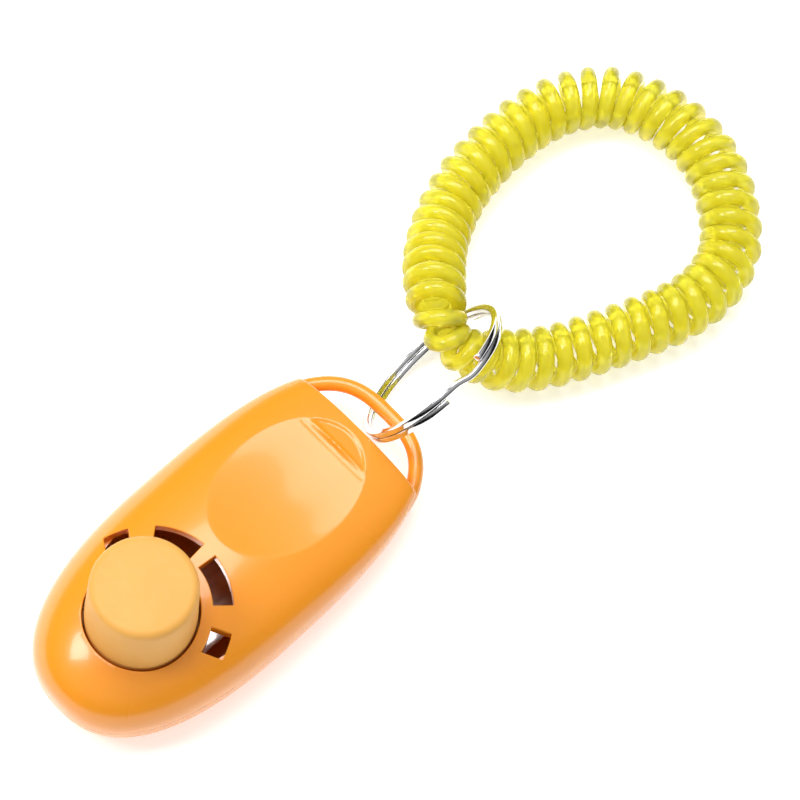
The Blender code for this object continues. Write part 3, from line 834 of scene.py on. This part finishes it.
def key_loop():
    """The arched bar, as a bevelled curve along the middle of its width."""
    curve = bpy.data.curves.new("loop_bar", "CURVE")
    curve.dimensions = "3D"
    curve.bevel_depth = LOOP_BAR / 2
    curve.bevel_resolution = 8
    curve.use_fill_caps = True
    places = []
    count = 120
    for i in range(count + 1):
        bearing = math.pi * i / count
        outer = egg_radius(bearing, MID_Y)
        y = MID_Y + math.sin(bearing) * (outer - LOOP_BAR / 2)
        sunk = LOOP_ARM_SINK * min(max((COVER_END_Y - y) / LOOP_ARM, 0.0), 1.0)
        x = math.cos(bearing) * (outer - LOOP_BAR / 2 - sunk)
        if y > COVER_END_Y - LOOP_ARM:
            places.append((x, y, (LOOP_LOW_Z + LOOP_TOP_Z) / 2, 1.0))
    spline = curve.splines.new("POLY")
    spline.points.add(len(places) - 1)
    for point, place in zip(spline.points, places):
        point.co = place
    bar = bpy.data.objects.new("loop_bar", curve)
    bpy.context.scene.collection.objects.link(bar)
    return close_seams(as_mesh(bar))


def standing(profile, x, y):
    """A shape turned from its profile, upright at a place."""
    return put(turned("standing", profile, 48), Matrix.Translation((x, y, 0.0)))


def lower_shell(finish):
    """The tub with its key loop, its two screw posts and the pockets for the screws' heads."""
    tub = tub_body()
    combine(tub, key_loop(), "UNION")
    post = ((0.0, FLOOR / 2), (POST_RADIUS, FLOOR / 2), (POST_RADIUS, PARTING_Z), (0.0, PARTING_Z))
    bore = ((0.0, -MM), (HEAD_BORE, -MM), (HEAD_BORE, HEAD_POCKET_TOP_Z), (SCREW_BORE, HEAD_POCKET_TOP_Z),
            (SCREW_BORE, PARTING_Z + MM), (0.0, PARTING_Z + MM))
    sides = (-CASE_SCREW_X, CASE_SCREW_X)
    combine(tub, joined([standing(post, x, CASE_SCREW_Y) for x in sides]), "UNION")
    combine(tub, joined([standing(bore, x, CASE_SCREW_Y) for x in sides]), "DIFFERENCE")
    smooth(tub, 40.0)
    add(tub, "case", "shell", finish, "lower_shell")


# ---------------------------------------------------------------- button

def button_profile():
    """The cap's outside from its flange up to the middle of its top, then its inside back down."""
    points = [(CAP_RADIUS - CAP_WALL, FLANGE_LOW), (CAP_RADIUS + FLANGE_REACH, FLANGE_LOW),
              (CAP_RADIUS + FLANGE_REACH, FLANGE_TOP), (CAP_RADIUS, FLANGE_TOP), (CAP_RADIUS, 0.0)]
    rise = CAP_EDGE * (1.0 - CAP_EDGE_FLATTENING)
    for i in range(9):
        angle = 0.5 * math.pi * i / 8
        radius = CAP_TOP_RADIUS - CAP_EDGE * (1.0 - math.cos(angle))
        points.append((radius, CAP_TOP - CAP_EDGE + rise * math.sin(angle)))
    crown = CAP_TOP_RADIUS - CAP_EDGE
    for i in range(1, 7):
        share = 1.0 - i / 6
        points.append((crown * share, CAP_TOP - CAP_EDGE + rise + CAP_CROWN * (1.0 - share ** 2)))
    points += [(0.0, CAP_TOP - CAP_ROOF), (CAP_TOP_RADIUS - CAP_WALL, CAP_TOP - CAP_ROOF)]
    return points + [points[0]]


def button(finish):
    cap = turned("button_top", button_profile(), 128)
    put(cap, BUTTON_FRAME)
    smooth(cap, 40.0)
    add(cap, "button", "button", finish, "button_cap")


# ---------------------------------------------------------------- split ring

def ring_frame():
    """The ring's own axes: X towards the band, Z along its normal."""
    along = (Vector((0.0, 1.0, 0.0)) - RING_NORMAL * RING_NORMAL.y).normalized()
    side = RING_NORMAL.cross(along)
    if side.z < 0:
        side.negate()
    return Matrix((along, side, RING_NORMAL)).transposed().to_4x4()


def strip_point(angle_of_section):
    """A point on the flat wire's rounded section, as (outwards, along the normal)."""
    c = math.cos(angle_of_section)
    s = math.sin(angle_of_section)
    return (RING_RADIAL / 2 * math.copysign(abs(c) ** WIRE_SQUARENESS, c),
            RING_STRIP / 2 * math.copysign(abs(s) ** WIRE_SQUARENESS, s))


def split_ring(finish):
    """Two turns of flat wire that change places in one short step."""
    steps = 330
    sides = 24
    to_step = WIRE_START - WIRE_STEP_AT + math.tau
    total = WIRE_START - WIRE_END + 2.0 * math.tau
    end_rows = len(WIRE_END_SIZES)

    def place(column, row):
        travelled = total * min(max(row - end_rows, 0), steps) / steps
        level = RING_STEP / 2 * math.tanh(2.0 * (travelled - to_step) / WIRE_STEP_WIDTH)
        before = max(end_rows - row, 0)
        after = max(row - end_rows - steps, 0)
        size = (1.0, *WIRE_END_SIZES)[before + after]
        out, up = strip_point(math.tau * (column % sides) / sides)
        angle = WIRE_START - travelled - (after - before) / end_rows * WIRE_END_REACH
        radius = RING_RADIUS + out * size
        return Vector((radius * math.cos(angle), radius * math.sin(angle), level + up * size))

    ring = surface("flat_wire_ring", sides, steps + 2 * end_rows, place)
    put(ring, Matrix.Translation(RING_CENTRE) @ ring_frame())
    close_seams(ring)
    smooth(ring, 50.0)
    add(ring, "ring", "chrome", finish, "split_ring")


# ---------------------------------------------------------------- inside parts

def plate_height(y):
    """Underside of the click plate: flat in the clamp, then rising towards the plunger."""
    past = min(max(PLATE_BEND_Y - y, 0.0) / (PLATE_BEND_Y - BUTTON_Y), 1.0)
    return PLATE_LOW_Z + PLATE_RISE * past ** PLATE_CURVE


def click_plate(finish):
    """The bent spring strip."""
    columns = 16
    rows = 90

    def place(column, row):
        y = PLATE_FRONT_Y + (PLATE_REAR_Y - PLATE_FRONT_Y) * row / rows
        x = (2.0 * column / columns - 1.0) * min(PLATE_HALF_WIDTH, half_width(y, PLATE_INSET))
        return Vector((x, y, plate_height(y)))

    strip = surface("click_strip", columns, rows, place)
    pick(strip)
    sheet = strip.modifiers.new("sheet", "SOLIDIFY")
    sheet.thickness = PLATE_THICKNESS
    sheet.offset = 1.0
    bpy.ops.object.modifier_apply(modifier=sheet.name)
    bore = ((0.0, MM), (SCREW_BORE, MM), (SCREW_BORE, PARTING_Z), (0.0, PARTING_Z))
    bores = joined([standing(bore, x, CLAMP_Y) for x in (-CLAMP_SCREW_X, CLAMP_SCREW_X)])
    combine(strip, bores, "DIFFERENCE")
    edge = strip.modifiers.new("edge", "BEVEL")
    edge.width = PLATE_EDGE
    edge.segments = 2
    edge.limit_method = "ANGLE"
    edge.angle_limit = math.radians(40.0)
    bpy.ops.object.modifier_apply(modifier=edge.name)
    smooth(strip, 40.0)
    add(strip, "case", "spring_steel", finish, "click_plate")
    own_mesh(strip)


def inside_parts(plate, screw):
    """The strip, and the carried-over clamp and screws with their finishes."""
    click_plate(plate)
    paint(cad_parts["plate_clamp"], plate)
    for node in ("clamp_screw_left", "clamp_screw_right", "case_screw_left", "case_screw_right"):
        paint(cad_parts[node], screw)


# ---------------------------------------------------------------- studio

def area_light(name, place, aim, width, depth, power):
    """A rectangular lamp at a place, turned towards its aim; power in watts."""
    data = bpy.data.lights.new(name, "AREA")
    data.shape = "RECTANGLE"
    data.size = width
    data.size_y = depth
    data.energy = power
    light = bpy.data.objects.new(name, data)
    bpy.context.scene.collection.objects.link(light)
    look = (Vector(place) - Vector(aim)).normalized()
    light.matrix_world = Matrix.Translation(Vector(place)) @ look.to_track_quat("Z", "Y").to_matrix().to_4x4()


def studio():
    """A pale floor, a sky that is white overhead and dark at the horizon, and two lamps."""
    clear_selection()
    bpy.ops.mesh.primitive_plane_add(size=6.0, location=(0.0, 0.0, 0.0))
    floor = named("floor")
    made, tree, shader = finish_nodes("floor_white")
    where = object_coordinates(tree)
    tree.links.new(tint(tree, noise(tree, where, 3.0), (0.93, 0.93, 0.93), (0.95, 0.95, 0.95)),
                   shader.inputs["Base Color"])
    shader.inputs["Roughness"].default_value = 0.9
    shader.inputs["Specular IOR Level"].default_value = 0.1
    shader.inputs["Emission Color"].default_value = (1.0, 1.0, 1.0, 1.0)
    shader.inputs["Emission Strength"].default_value = 0.5
    paint(floor, made)
    world = bpy.data.worlds.new("studio")
    bpy.context.scene.world = world
    world.use_nodes = True
    backdrop = world.node_tree.nodes["Background"]
    backdrop.inputs["Strength"].default_value = 0.5
    facing = world.node_tree.nodes.new("ShaderNodeSeparateXYZ")
    where = world.node_tree.nodes.new("ShaderNodeTexCoord").outputs["Generated"]
    world.node_tree.links.new(where, facing.inputs["Vector"])
    shade = world.node_tree.nodes.new("ShaderNodeValToRGB")
    shade.color_ramp.elements[0].position = 0.3
    shade.color_ramp.elements[0].color = (0.01, 0.01, 0.01, 1.0)
    shade.color_ramp.elements[1].position = 0.7
    shade.color_ramp.elements[1].color = (1.0, 1.0, 1.0, 1.0)
    world.node_tree.links.new(facing.outputs["Z"], shade.inputs["Fac"])
    world.node_tree.links.new(shade.outputs["Color"], backdrop.inputs["Color"])
    area_light("overhead", (-0.16, 0.14, 0.62), (0.0, 0.02, 0.0), 0.42, 0.36, 2.8)
    area_light("front_window", (-0.24, -0.20, 0.46), (0.0, -0.02, 0.0), 0.17, 0.17, 1.1)
    bpy.context.scene.view_settings.view_transform = "Standard"
    bpy.context.scene.view_settings.look = "None"


def main():
    place_camera()
    wrist_coil(coil_finish())
    shell = orange_shell_finish()
    upper_shell(shell)
    lower_shell(shell)
    button(button_finish())
    split_ring(
        metal_finish("ring_chrome", (0.72, 0.72, 0.73), (0.86, 0.86, 0.87), 0.05, 0.12, (1.0, 1.0, 1.0)))
    inside_parts(
        metal_finish("plate_steel", (0.78, 0.77, 0.77), (0.92, 0.91, 0.91), 0.16, 0.28, (1.0, 0.05, 1.0)),
        metal_finish("screw_steel", (0.42, 0.42, 0.43), (0.62, 0.62, 0.63), 0.3, 0.42, (1.0, 1.0, 1.0)))
    studio()


main()
